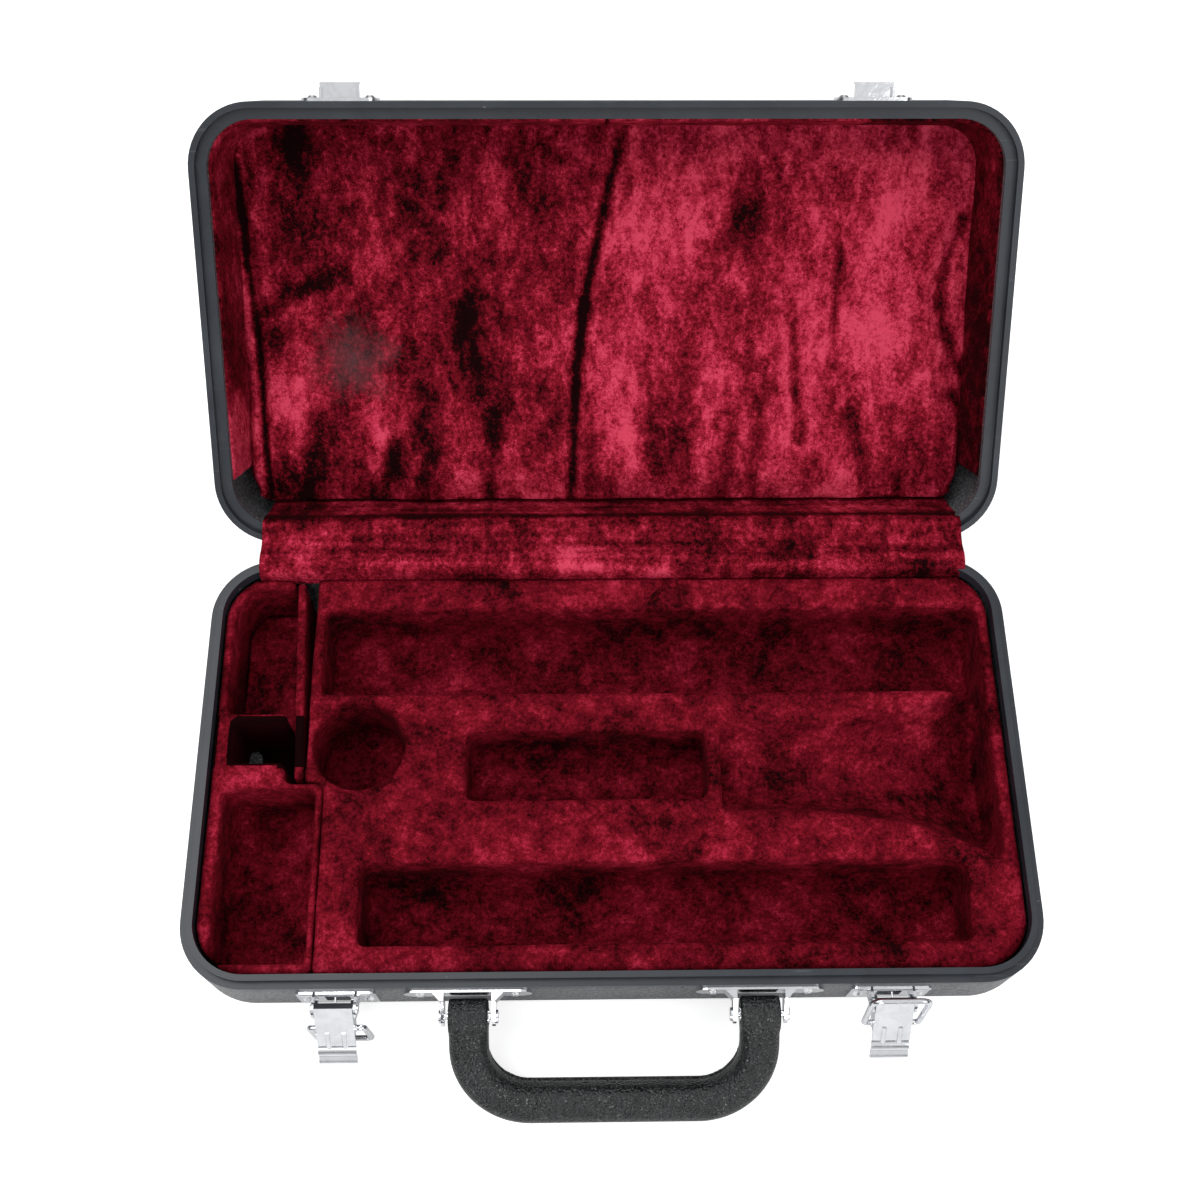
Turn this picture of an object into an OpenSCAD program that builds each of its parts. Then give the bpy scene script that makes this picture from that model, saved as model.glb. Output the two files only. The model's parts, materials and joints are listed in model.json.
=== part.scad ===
/* [Case] */
// Width of the case, left to right
case_w = 320; // [318:1:328]
// Depth of the case, front to back
case_d = 173; // [172:1:180]
// Height of the base shell, from the floor to the ledge that the lid lands on
base_h = 42; // [42:1:46]
// Height of the lid shell, from its lip to its top
lid_h = 46; // [44:1:52]
// Radius of the case's corners seen from above
corner_r = 25; // [24:0.5:27]
// Radius where the walls turn into the bottom and the top
edge_r = 16; // [14:1:17]
// Thickness of the shells
wall = 2.5; // [2.2:0.1:2.8]
// How far the lid lies open
lid_open = 136.4; // [120:0.2:138]

/* [Interior] */
// Thickness of the plush over the wells
plush_t = 1.2; // [1:0.1:1.4]
// Width of the long channel at the back
back_channel_w = 36; // [33:0.5:37]
// Width of the channel at the front
front_channel_w = 30.4; // [28:0.4:31]
// Width of the short channel in the middle
middle_channel_w = 27.5; // [25:0.5:29]
// Largest width of the flared well
flare_w = 74.4; // [70:0.4:75]
// Width of the round well
round_well_w = 35.6; // [32:0.4:36]
// Width of the well at the left end
side_well_w = 35.5; // [33:0.5:36]

/* [Latches] */
// Distance of each latch from its end of the case
latch_inset = 58.1; // [57:0.1:62]
// Width of a latch plate
latch_plate_w = 29.4; // [28:0.2:33]
// Length of a lever from its pin
lever_len = 24.9; // [22:0.1:26]
// How far the levers hang out from upright at rest
lever_out = 35; // [33:1:40]
// Wire diameter of the loops
wire_d = 2.2; // [2:0.1:2.4]

/* [Handle] */
// Gap between a latch plate and the handle bracket beside it
bracket_gap = 10; // [7:0.1:13]
// Reach of the handle from its pins to the far edge of the grip
handle_reach = 41.5; // [39:0.1:43]
// How far below level the handle lies
handle_drop = 36; // [33:0.5:37]

/* [Hidden] */
$fn = 64;

black_shell = [0.09, 0.09, 0.1];
plush_red = [0.42, 0.04, 0.09];
board_brown = [0.35, 0.27, 0.2];
chrome_grey = [0.8, 0.8, 0.82];
leather_black = [0.05, 0.05, 0.055];

half_w = case_w / 2;
half_d = case_d / 2;
latch_x = half_w - latch_inset;
// The corner centres of every rounded outline
core_x = half_w - corner_r;
core_y = half_d - corner_r;
inner_edge_r = edge_r - wall;
flat_r = corner_r - edge_r;

// The rim: a ledge outside, and a tongue inside it that the lid's groove drops over
ledge_w = 2.7;
tongue_w = 2.3;
tongue_h = 2.5;
rim_h = 2.5;
lid_rim_w = 6.5;
lid_rim_h = 3;
rim_gap = 0.3;
lid_rim_depth = tongue_h + rim_gap + lid_rim_h;
close_gap = 0.15;
lid_z = base_h + close_gap;
lid_top = lid_z + lid_h;
lid_roof = lid_top - wall;

// Hinge
hinge_y = half_d + 4.2;
hinge_z = base_h - 1.8;
hinge_x = half_w - 70;
hinge_len = 40;
knuckle_r = 2.4;
knuckle_n = 5;
knuckle_len = hinge_len / knuckle_n;
leaf_t = 1.2;
leaf_h = 14;
leaf_start = 2;
leaf_rivet_x = 13;
leaf_rivet_z = 10.5;
hinge_pin_r = 1.1;
turn_gap = 0.06;
fixed_gap = 0.02;
knuckle_gap = 0.15;

// Rivets
rivet_r = 1.2;
rivet_head_r = 2.2;
rivet_head_h = 0.8;
peen_r = 1.8;
peen_h = 0.6;
shell_bore = 2.4 * wall;
plate_bore = 3;

// Latches
plate_t = 1.2;
latch_plate_h = 18;
latch_plate_drop = 3;
lever_pin_y = -half_d - 6.5;
lever_pin_z = base_h - 4.2;
lever_pin_r = 1;
lever_w = 14;
lever_t = 1;
lever_face = -3.2;
lever_fold = 3.4;
lever_bend = 15.4;
roll_r = 2.6;
lip_r = 1.7;
flute_x = 3;
flute_r = 1;
flute_len = 7.5;
flange_r = 2.4;
flange_out = 7;
spring_r = 1.9;
spring_w = 6;
ear_in = 7.2;
ear_out = 8.1;
pin_head = 0.55;
ear_r = 3.2;
ear_bore = 20;
loop_at = 9.5;
loop_len = 24;
loop_foot = 10.1;
loop_head = 10.3;
loop_corner = 3.4;
foot_bend = 1.6;
wire_r = wire_d / 2;
latch_rivet_x = latch_plate_w / 2 - 3.4;
plate_corner = 2;
latch_rivet_z = base_h - 14;
// The left loop hangs plumb, the right one stands nearly upright
loop_left_lean = -90;
loop_right_lean = 82;
bar_in = 2;
// Each side of a loop runs from a small bend at its foot to a larger one at the bar, along the
// line that touches both bends
loop_low = [loop_foot - foot_bend, foot_bend];
loop_high = [loop_head - loop_corner, loop_len - loop_corner];
loop_run = loop_high - loop_low;
loop_tilt = atan2(loop_run[1], loop_run[0]) - acos((foot_bend - loop_corner) / norm(loop_run));
loop_side_len = sqrt(pow(norm(loop_run), 2) - pow(loop_corner - foot_bend, 2));

// Keepers: the loop's bar lies on the hook when the latch is closed
keeper_w = 29.2;
keeper_corner = 4;
keeper_h = 14;
hook_w = 15.1;
hook_t = 1;
bar_y = lever_pin_y + bar_in;
bar_z = lever_pin_z - loop_at + sqrt(loop_len * loop_len - bar_in * bar_in);
hook_top = bar_z - wire_r - rim_gap;
hook_lip_y = bar_y - wire_r - rim_gap;
keeper_rivet_x = keeper_w / 2 - 3.6;
keeper_rivet_z = lid_z + 11;

// Handle
bracket_w = 47.1;
handle_x = latch_x - latch_plate_w / 2 - bracket_gap - bracket_w / 2;
bracket_h = 8;
bracket_drop = 2.5;
bracket_ear_x = 9.4;
handle_pin_y = -half_d - 8.4;
handle_pin_z = base_h - 12;
handle_pin_r = 1.1;
handle_ear_r = 3.4;
bracket_rivet_x = 17.4;
bracket_flare = 3;
bracket_rivet_z = base_h - 6.5;
grip_w = 14.6;
grip_low = 3.6;
grip_high = 6.4;
grip_round_low = 2.4;
grip_round_high = 4.6;
barrel_w = grip_w;
barrel_r = 6.6;
eye_r = 2.8;
turn_r = 22.5;
arm_len = handle_reach - grip_w / 2 - turn_r;
core_w = 6;
backing_inset = 0.6;
backing_start = 9;
backing_t = 2.4;
strap_t = 2;

// Interior of the base
insert_gap = 0.5;
insert_r = corner_r - ledge_w - tongue_w - insert_gap;
insert_top = base_h - 1.5;
insert_back = half_d - 7.5;
floor_z = wall;
side_split = 0.2;
// Each step of the insert's foot: height above the floor, and outline radius that clears the shell
foot_steps = [for (h = [0, 1.2, 2.5, 5.2]) [h, foot_r(h)]];
main_inset = 41.4;
notch_inset = 49;
notch_front = 79;
side_inset = 33.2;
side_len = 27.5;
corner_inset = 32.4;
main_left = -half_w + main_inset;
main_notch_x = -half_w + notch_inset;
main_notch_y = -half_d + notch_front;
side_right = -half_w + side_inset;
side_back = main_notch_y + side_len;
corner_right = -half_w + corner_inset;
corner_wall = 2.2;
corner_front = side_back + 1;
corner_floor = floor_z + 2;
corner_top = 12;
back_channel_gap = 4.1;
back_channel_end = 10;
back_channel_in = 39.5;
back_channel = [main_left + back_channel_gap, half_w - back_channel_end, half_d - back_channel_in, 26];
front_channel_start = 65;
front_channel_end = 26;
front_channel_in = 31.5;
front_channel = [-half_w + front_channel_start, half_w - front_channel_end, -half_d + front_channel_in, 25];
flare_y = -2.8;
flare_z = base_h + 1.5;
flare_inset = 117;
flare_start = half_w - flare_inset;
flare_steps = [0, 42, 69, 87, 99, 106.5];
flare_x = [for (k = flare_steps) flare_start + k];
flare_share = [0.47, 0.5, 0.6, 0.75, 0.9, 1];
middle_start = 104;
middle_gap = 5.6;
middle_channel = [-half_w + middle_start, flare_start - middle_gap, -1.2, 28];
round_well_in = 61.5;
round_well = [-half_w + round_well_in, 7.5, 5];
side_well_in = 28.3;
side_well_front = 9.8;
side_well_gap = 2.5;
side_well = [-half_w + side_well_in, -half_d + side_well_front, main_notch_y - side_well_gap, 24];
hole_in = 12;
hole_front = 8.5;
hole_back = 2.4;
square_hole = [-half_w + hole_in, main_notch_y + hole_front, side_back - hole_back];

// Partition board between the left compartments and the main insert
partition_t = 3.4;
partition_front_in = 39.1;
partition_back_in = 34.8;
partition_end = 1.5;
partition_front = [-half_w + partition_front_in, main_notch_y + partition_end];
partition_back = [-half_w + partition_back_in, insert_back - partition_end];
partition_top = base_h - 3;

// Cloth gusset over the hinge, as seen from the side: y from the hinge, z from the hinge
gusset_left_in = 18.2;
gusset_right_in = 13.9;
gusset_left = -half_w + gusset_left_in;
gusset_right = half_w - gusset_right_in;
gusset_t = 0.9;
gusset_path = [[-11.2, -4.2], [-11.2, 1.6], [-9.6, 5.2], [-5.4, 6.3], [0, 4.9], [5, 5],
    [10.4, 6.7], [14.2, 4.2], [17.6, 0.4], [21.6, -4.4], [24.4, -7.6]];

// Interior of the lid
board_gap = 1;
board_t = 3;
board_z = lid_roof - board_gap - board_t;
lining_corner = 14.6;
lining_half_x = core_x + lining_corner;
lining_front_over = 14.6;
lining_back_over = 15.6;
lining_y0 = -core_y - lining_front_over;
lining_y1 = core_y + lining_back_over;
lining_edge = 1.4;
lining_low = 3;
lining_rise = 9;
lining_puff = 30;
lining_slope = 10;
// Soft folds of the padding: where each crosses the middle, how it leans, its width and its depth
folds = [[-6, -0.12, 5, 2.2], [52, 0.1, 8, 1], [-70, 0.16, 10, 1.2], [96, -0.08, 9, 0.8]];
lining_nx = 36;
lining_ny = 18;
strip_tuck = 1.5;
strip_foot = 5;
strip_head = 2.4;
strip_split = 0.3;
strip_bevel = 1.9;
strip_bevel_h = 2.8;

// Outline radius that fits inside the rounded bottom edge at a height above the floor
function foot_r(h) = h <= 0 ? flat_r : min(insert_r, flat_r + edge_chord(h) - side_split);
function edge_chord(h) = sqrt(pow(inner_edge_r, 2) - pow(inner_edge_r - h, 2));

// Flat shapes

module rounded_outline(r) {
    square([2 * (core_x + r), 2 * core_y], center = true);
    square([2 * core_x, 2 * (core_y + r)], center = true);
    for (sx = [-1, 1], sy = [-1, 1]) translate([sx * core_x, sy * core_y]) circle(r);
}

// Sweeps a profile, drawn outward from the corner centres, round the four sides and corners
module sweep_round() {
    for (s = [0, 1]) rotate([0, 0, 180 * s]) {
        translate([core_x, core_y, 0]) rotate_extrude(angle = 90) children();
        translate([-core_x, core_y, 0]) rotate([0, 0, 90]) rotate_extrude(angle = 90) children();
        translate([core_x, core_y, 0]) rotate([90, 0, 0]) linear_extrude(2 * core_y) children();
        translate([-core_x, core_y, 0]) rotate([90, 0, 90]) linear_extrude(2 * core_x) children();
    }
}

// Wall, rounded edge and the flat beside it, standing on z = 0 with its rim up
module shell_profile(height) {
    difference() {
        union() {
            square([flat_r, edge_r]);
            translate([flat_r, edge_r]) intersection() {
                circle(edge_r);
                translate([0, -edge_r]) square([edge_r, edge_r]);
            }
            translate([0, edge_r]) square([corner_r, height - edge_r]);
        }
        translate([-1, wall]) square([flat_r + 1, height]);
        translate([flat_r, edge_r]) circle(inner_edge_r);
        translate([-1, edge_r]) square([corner_r - wall + 1, height]);
    }
}

module base_profile() {
    shell_profile(base_h);
    translate([corner_r - ledge_w - tongue_w, base_h - rim_h])
        square([ledge_w + tongue_w, rim_h]);
    translate([corner_r - ledge_w - tongue_w, base_h - rim_h])
        square([tongue_w, rim_h + tongue_h]);
}

// The lid's profile stands on its top, so it is flipped when the lid is placed
module lid_profile() {
    difference() {
        union() {
            shell_profile(lid_h);
            translate([corner_r - lid_rim_w, lid_h - lid_rim_depth]) square([lid_rim_w, lid_rim_depth]);
        }
        translate([corner_r - lid_rim_w - 1, lid_h - tongue_h - rim_gap])
            square([lid_rim_w + 1 - ledge_w + rim_gap, tongue_h + 1]);
    }
}

// Helpers

// Puts what is drawn in the closed position where the open lid lies
module on_lid() {
    translate([0, hinge_y, hinge_z]) rotate([-lid_open, 0, 0])
        translate([0, -hinge_y, -hinge_z]) children();
}

// A flat plate with rounded corners, its back at y = 0 and its middle at the origin
module round_plate(w, h, r) {
    rotate([90, 0, 0]) linear_extrude(plate_t) {
        square([w - 2 * r, h], center = true);
        square([w, h - 2 * r], center = true);
        for (sx = [-1, 1], sz = [-1, 1]) translate([sx * (w / 2 - r), sz * (h / 2 - r)]) circle(r);
    }
}

module along_x(x, y, z, len) {
    translate([x, y, z]) rotate([0, 90, 0]) linear_extrude(len) children();
}

module bar_x(x, y, z, r, len) {
    along_x(x, y, z, len) circle(r);
}

// Extrudes a side view, drawn as y and z, along x about a centre
module side_view(x, w) {
    translate([x - w / 2, 0, 0]) rotate([90, 0, 90]) linear_extrude(w) children();
}

// A rivet through a wall whose outer face is at y = 0, with the outside toward -y
module rivet(plate, grip) {
    rotate([90, 0, 0]) {
        translate([0, 0, plate]) cylinder(h = rivet_head_h, r1 = rivet_head_r, r2 = rivet_head_r * 0.6);
        translate([0, 0, -grip]) cylinder(h = plate + grip, r = rivet_r);
        translate([0, 0, -grip - peen_h]) cylinder(h = peen_h, r = peen_r);
    }
}

module rivet_bore(depth) {
    rotate([90, 0, 0]) translate([0, 0, -depth]) cylinder(h = 2 * depth, r = rivet_r + fixed_gap);
}

module at_latch_rivets() {
    for (s = [-1, 1], t = [-1, 1])
        translate([s * latch_x + t * latch_rivet_x, -half_d, latch_rivet_z]) children();
}

module at_bracket_rivets() {
    for (s = [-1, 1], t = [-1, 1])
        translate([s * handle_x + t * bracket_rivet_x, -half_d, bracket_rivet_z]) children();
}

module at_keeper_rivets() {
    for (s = [-1, 1], t = [-1, 1])
        translate([s * latch_x + t * keeper_rivet_x, -half_d, keeper_rivet_z]) children();
}

// Hinge rivets face backward; up is -1 for the base's leaves and 1 for the lid's
module at_hinge_rivets(up) {
    for (s = [-1, 1], t = [-1, 1])
        translate([s * hinge_x + t * leaf_rivet_x, half_d, hinge_z + up * leaf_rivet_z])
            rotate([0, 0, 180]) children();
}

// Base

module base_shell() {
    color(black_shell) difference() {
        union() {
            sweep_round() base_profile();
            translate([-core_x, -core_y, 0]) cube([2 * core_x, 2 * core_y, wall]);
        }
        at_latch_rivets() rivet_bore(shell_bore);
        at_bracket_rivets() rivet_bore(shell_bore);
        at_hinge_rivets(-1) rivet_bore(shell_bore);
    }
}

// Everything that may stand in the base up to a height, clear of the shell all round
module base_room(top) {
    n = len(foot_steps);
    for (i = [0 : n - 1]) {
        z0 = floor_z + foot_steps[i][0];
        z1 = i < n - 1 ? floor_z + foot_steps[i + 1][0] : top;
        translate([0, 0, z0]) linear_extrude(z1 - z0) rounded_outline(foot_steps[i][1]);
    }
}

module main_room(top) {
    intersection() {
        base_room(top);
        difference() {
            translate([main_left, -half_d, 0])
                cube([half_w - main_left, half_d + insert_back, top + 1]);
            translate([main_left - 1, -half_d - 1, -1])
                cube([main_notch_x - main_left + 1, half_d + main_notch_y + 1, top + 3]);
        }
    }
}

module side_room(top) {
    intersection() {
        base_room(top);
        union() {
            translate([-half_w, -half_d, 0])
                cube([half_w + main_notch_x - side_split, half_d + main_notch_y - side_split, top + 1]);
            translate([-half_w, -half_d, 0])
                cube([half_w + side_right, half_d + side_back, top + 1]);
            translate([-half_w, -half_d, 0])
                cube([half_w + corner_right, half_d + insert_back, top + 1]);
        }
    }
}

// A round-bottomed channel along x: given as left end, right end, y and z of its axis
module channel(c, w, grow) {
    r = w / 2 + grow;
    x0 = c[0] - grow;
    len = c[1] - c[0] + 2 * grow;
    bar_x(x0, c[2], c[3], r, len);
    translate([x0, c[2] - r, c[3]]) cube([len, 2 * r, base_h]);
}

module flared_well(grow) {
    n = len(flare_x);
    r = [for (k = flare_share) k * flare_w / 2 + grow];
    profile = concat([[0, flare_x[0] - grow]],
        [for (i = [0 : n - 1]) [r[i], flare_x[i] - (i == 0 ? grow : 0)]],
        [[r[n - 1], flare_x[n - 1] + grow], [0, flare_x[n - 1] + grow]]);
    translate([0, flare_y, flare_z]) rotate([0, 90, 0]) rotate_extrude() polygon(profile);
}

module main_wells(grow) {
    channel(back_channel, back_channel_w, grow);
    channel(front_channel, front_channel_w, grow);
    channel(middle_channel, middle_channel_w, grow);
    flared_well(grow);
    translate([round_well[0], round_well[1], round_well[2] - grow])
        cylinder(h = base_h, r = round_well_w / 2 + grow);
}

module side_wells(grow) {
    r = side_well_w / 2 + grow;
    y0 = side_well[1] - grow;
    len = side_well[2] - side_well[1] + 2 * grow;
    translate([side_well[0], y0 + len, side_well[3]]) rotate([90, 0, 0]) cylinder(h = len, r = r);
    translate([side_well[0] - r, y0, side_well[3]]) cube([2 * r, len, base_h]);
}

// The corner compartment, open toward the partition; grow counts outward from the plush's face
module corner_well(grow) {
    inset = corner_wall + plush_t - grow;
    translate([0, 0, corner_floor]) linear_extrude(base_h) intersection() {
        rounded_outline(insert_r - inset);
        translate([-half_w, corner_front - grow])
            square([half_w + corner_right + 1, insert_back - inset - corner_front + grow]);
    }
}

module square_cut() {
    translate([square_hole[0], square_hole[1], floor_z + 1])
        cube([30, square_hole[2] - square_hole[1], base_h]);
}

module main_insert() {
    color(board_brown) difference() {
        main_room(insert_top - plush_t);
        main_wells(plush_t);
    }
}

module main_lining() {
    color(plush_red) difference() {
        intersection() {
            main_room(insert_top);
            union() {
                main_wells(plush_t);
                translate([-half_w, -half_d, insert_top - plush_t]) cube([case_w, case_d, plush_t]);
            }
        }
        main_wells(0);
    }
}

module side_insert() {
    color(board_brown) difference() {
        side_room(insert_top - plush_t);
        side_wells(plush_t);
        corner_well(plush_t);
        square_cut();
    }
}

module side_lining() {
    color(plush_red) difference() {
        intersection() {
            side_room(insert_top);
            union() {
                side_wells(plush_t);
                corner_well(plush_t);
                translate([-half_w, -half_d, insert_top - plush_t]) cube([case_w, case_d, plush_t]);
            }
        }
        side_wells(0);
        corner_well(0);
        square_cut();
    }
}

// Padded floor of the corner compartment
module corner_pad() {
    color(plush_red) intersection() {
        corner_well(-side_split);
        translate([-half_w, -half_d, 0]) cube([half_w + corner_right, case_d, corner_top]);
    }
}

module partition() {
    run = partition_back - partition_front;
    color(plush_red) intersection() {
        base_room(partition_top);
        translate([partition_front[0], partition_front[1], 0]) rotate([0, 0, atan2(run[1], run[0])])
            translate([0, -partition_t / 2, 0]) cube([norm(run), partition_t, partition_top]);
    }
}

// The side of each point of the path, half a thickness away
function path_dir(i) = let (n = len(gusset_path), a = gusset_path[max(i - 1, 0)],
    b = gusset_path[min(i + 1, n - 1)]) (b - a) / norm(b - a);
function path_side(i, s) = gusset_path[i] + s * gusset_t / 2 * [-path_dir(i)[1], path_dir(i)[0]];

module gusset() {
    n = len(gusset_path);
    outline = concat([for (i = [0 : n - 1]) path_side(i, 1)], [for (i = [n - 1 : -1 : 0]) path_side(i, -1)]);
    tongue_top = base_h + tongue_h + rim_gap;
    color(plush_red) difference() {
        translate([0, hinge_y, hinge_z])
            side_view((gusset_left + gusset_right) / 2, gusset_right - gusset_left) polygon(outline);
        rim_cut(insert_r, 0, tongue_top);
        on_lid() rim_cut(corner_r - lid_rim_w - rim_gap, lid_z, lid_rim_depth + rim_gap);
    }
}

// Everything outside a rounded outline, between two heights
module rim_cut(r, z, h) {
    translate([0, 0, z]) linear_extrude(h) difference() {
        square([case_w, case_d], center = true);
        rounded_outline(r);
    }
}

// Hinges

// One leaf drawn about the hinge axis; up is -1 for the base and 1 for the lid
module hinge_leaf(x, up) {
    first = up < 0 ? 0 : 1;
    start = x - hinge_len / 2;
    bore = hinge_pin_r + (up < 0 ? fixed_gap : turn_gap);
    color(chrome_grey) translate([0, hinge_y, hinge_z]) difference() {
        union() {
            translate([start, half_d - hinge_y, up < 0 ? -leaf_h - leaf_start / 2 : leaf_start])
                cube([hinge_len, leaf_t, leaf_h]);
            for (k = [first : 2 : knuckle_n - 1]) {
                x0 = start + k * knuckle_len + knuckle_gap;
                w = knuckle_len - 2 * knuckle_gap;
                bar_x(x0, 0, 0, knuckle_r, w);
                translate([x0, half_d - hinge_y + 0.4, up < 0 ? -knuckle_r : 0.6])
                    cube([w, hinge_y - half_d - 0.4, knuckle_r - 0.6]);
            }
        }
        bar_x(start - 1, 0, 0, bore, hinge_len + 2);
        for (t = [-1, 1]) translate([x + t * leaf_rivet_x, half_d - hinge_y, up * leaf_rivet_z])
            rotate([0, 0, 180]) rivet_bore(shell_bore);
    }
}

module hinge_pin(x) {
    color(chrome_grey) bar_x(x - hinge_len / 2, hinge_y, hinge_z, hinge_pin_r, hinge_len);
}

module base_hinge_leaf_left() { hinge_leaf(-hinge_x, -1); }
module base_hinge_leaf_right() { hinge_leaf(hinge_x, -1); }
module hinge_pin_left() { hinge_pin(-hinge_x); }
module hinge_pin_right() { hinge_pin(hinge_x); }
module lid_hinge_leaf_left() { on_lid() hinge_leaf(-hinge_x, 1); }
module lid_hinge_leaf_right() { on_lid() hinge_leaf(hinge_x, 1); }

module base_hinge_rivets() {
    color(chrome_grey) at_hinge_rivets(-1) rivet(leaf_t, wall);
}

module lid_hinge_rivets() {
    color(chrome_grey) on_lid() at_hinge_rivets(1) rivet(leaf_t, wall);
}

// Latches

module latch_plate(x) {
    top = base_h - latch_plate_drop;
    color(chrome_grey) difference() {
        union() {
            translate([x, -half_d, top - latch_plate_h / 2])
                round_plate(latch_plate_w, latch_plate_h, plate_corner);
            bar_x(x - latch_plate_w / 2 + plate_corner, -half_d - plate_t, top - 0.8, 0.8,
                latch_plate_w - 2 * plate_corner);
            for (s = [-1, 1]) side_view(x + s * (ear_in + ear_out) / 2, ear_out - ear_in) {
                translate([lever_pin_y, lever_pin_z]) circle(ear_r);
                polygon([[-half_d - 0.5, lever_pin_z + 1.2], [-half_d - 0.5, lever_pin_z - 9],
                    [lever_pin_y - 1.2, lever_pin_z - 2.9], [lever_pin_y, lever_pin_z + ear_r]]);
            }
        }
        translate([x - 4.6, -half_d - 3, lever_pin_z - 12]) cube([9.2, 4, 8]);
        bar_x(x - ear_bore / 2, lever_pin_y, lever_pin_z, lever_pin_r + fixed_gap, ear_bore);
        for (t = [-1, 1]) translate([x + t * latch_rivet_x, -half_d, latch_rivet_z]) rivet_bore(plate_bore);
    }
}

module lever_pin(x) {
    color(chrome_grey) {
        bar_x(x - ear_out - pin_head, lever_pin_y, lever_pin_z, lever_pin_r, 2 * (ear_out + pin_head));
        for (s = [-1, 1]) bar_x(x + s * (ear_out + pin_head / 2) - pin_head / 2, lever_pin_y,
            lever_pin_z, 1.9 * lever_pin_r, pin_head);
    }
}

// Return spring round the lever's pin, with one leg that reaches the plate
module latch_spring(x) {
    color(chrome_grey) difference() {
        union() {
            bar_x(x - spring_w / 2, lever_pin_y, lever_pin_z, spring_r, spring_w);
            translate([x, lever_pin_y + 1.5, lever_pin_z - 1]) rotate([-90, 0, 0])
                cylinder(h = -half_d - plate_t - 0.1 - lever_pin_y - 1.5, r = 0.4);
        }
        bar_x(x - spring_w, lever_pin_y, lever_pin_z, lever_pin_r + turn_gap, 2 * spring_w);
    }
}

// Points of an arc, given as centre, radius and two angles
function arc(at, r, from, to) =
    [for (i = [0 : 8]) let (a = from + (to - from) * i / 8) at + r * [cos(a), sin(a)]];

// Lever drawn hanging shut, with its pin at the origin and its outside toward -y: a folded top, a
// flat plate, a roll across it and a rolled lip at its end
module lever_shape() {
    lip = [lever_face + 1.1, -lever_len + lip_r];
    roll = [lever_face + 1.9, lip[1] + lip_r + roll_r];
    plate_in = lever_face + lever_t;
    difference() {
        union() {
            side_view(0, 2 * flange_out)
                polygon([[-0.4, lever_fold], [lever_face, lever_fold], [lever_face, -4.4], [plate_in, -4.4],
                    [plate_in, lever_fold - lever_t], [-0.4, lever_fold - lever_t]]);
            side_view(0, lever_w) polygon(concat([[plate_in, -4.2], [lever_face, -4.2],
                [lever_face, -lever_bend]], arc(roll, roll_r, 125, 235), arc(lip, lip_r, 150, 270),
                [lip + [0, lever_t - lip_r], lip + [0.15, 0.6], lip + [0.25, lip_r + 0.3]],
                arc(roll, roll_r - lever_t, 225, 125), [[plate_in, -lever_bend]]));
            for (s = [-1, 1]) {
                side_view(s * (flange_out - 0.5), 1) {
                    circle(flange_r);
                    translate([0, -loop_at]) circle(flange_r);
                    translate([lever_face + 0.4, -loop_at - flange_r])
                        square([flange_r - 0.2 - lever_face, loop_at + 2 * flange_r]);
                }
                translate([s * flute_x, lever_face + 0.4, -lever_bend - 1])
                    cylinder(h = flute_len, r = flute_r);
            }
        }
        bar_x(-ear_bore / 2, 0, 0, lever_pin_r + turn_gap, ear_bore);
        bar_x(-ear_bore / 2, 0, -loop_at, wire_r + turn_gap, ear_bore);
        translate([-flange_out + 1, plate_in, -loop_at - flange_r - 0.1])
            cube([2 * flange_out - 2, 6, loop_at + 2 * flange_r + 0.1]);
    }
}

module lever(x) {
    color(chrome_grey) translate([x, lever_pin_y, lever_pin_z]) rotate([-lever_out, 0, 0]) lever_shape();
}

// A bend about a point given as x and height, between two angles
module wire_bend(at, r, from, to) {
    translate([at[0], 0, at[1]]) rotate([90, 0, 0]) rotate([0, 0, from])
        rotate_extrude(angle = to - from) translate([r, 0]) circle(wire_r);
}

// Loop drawn standing up from the axis of its two ends
module loop_shape() {
    for (s = [0, 1]) mirror([s, 0, 0]) {
        translate([3.6, 0, 0]) rotate([0, 90, 0]) cylinder(h = loop_low[0] - 3.6, r = wire_r);
        wire_bend(loop_low, foot_bend, -90, loop_tilt);
        translate([loop_low[0] + foot_bend * cos(loop_tilt), 0, loop_low[1] + foot_bend * sin(loop_tilt)])
            rotate([0, -loop_tilt, 0]) cylinder(h = loop_side_len, r = wire_r);
        wire_bend(loop_high, loop_corner, loop_tilt, 90);
        translate([0, 0, loop_len]) rotate([0, 90, 0]) cylinder(h = loop_high[0], r = wire_r);
    }
}

// lean is the loop's direction, counted from straight back to straight up
module wire_loop(x, lean) {
    y = lever_pin_y - loop_at * sin(lever_out);
    z = lever_pin_z - loop_at * cos(lever_out);
    color(chrome_grey) translate([x, y, z]) rotate([lean - 90, 0, 0]) loop_shape();
}

module latch_plate_left() { latch_plate(-latch_x); }
module latch_plate_right() { latch_plate(latch_x); }
module lever_pin_left() { lever_pin(-latch_x); }
module lever_pin_right() { lever_pin(latch_x); }
module latch_spring_left() { latch_spring(-latch_x); }
module latch_spring_right() { latch_spring(latch_x); }
module lever_left() { lever(-latch_x); }
module lever_right() { lever(latch_x); }
module loop_left() { wire_loop(-latch_x, loop_left_lean); }
module loop_right() { wire_loop(latch_x, loop_right_lean); }

module latch_rivets() {
    color(chrome_grey) at_latch_rivets() rivet(plate_t, wall);
}

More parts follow.
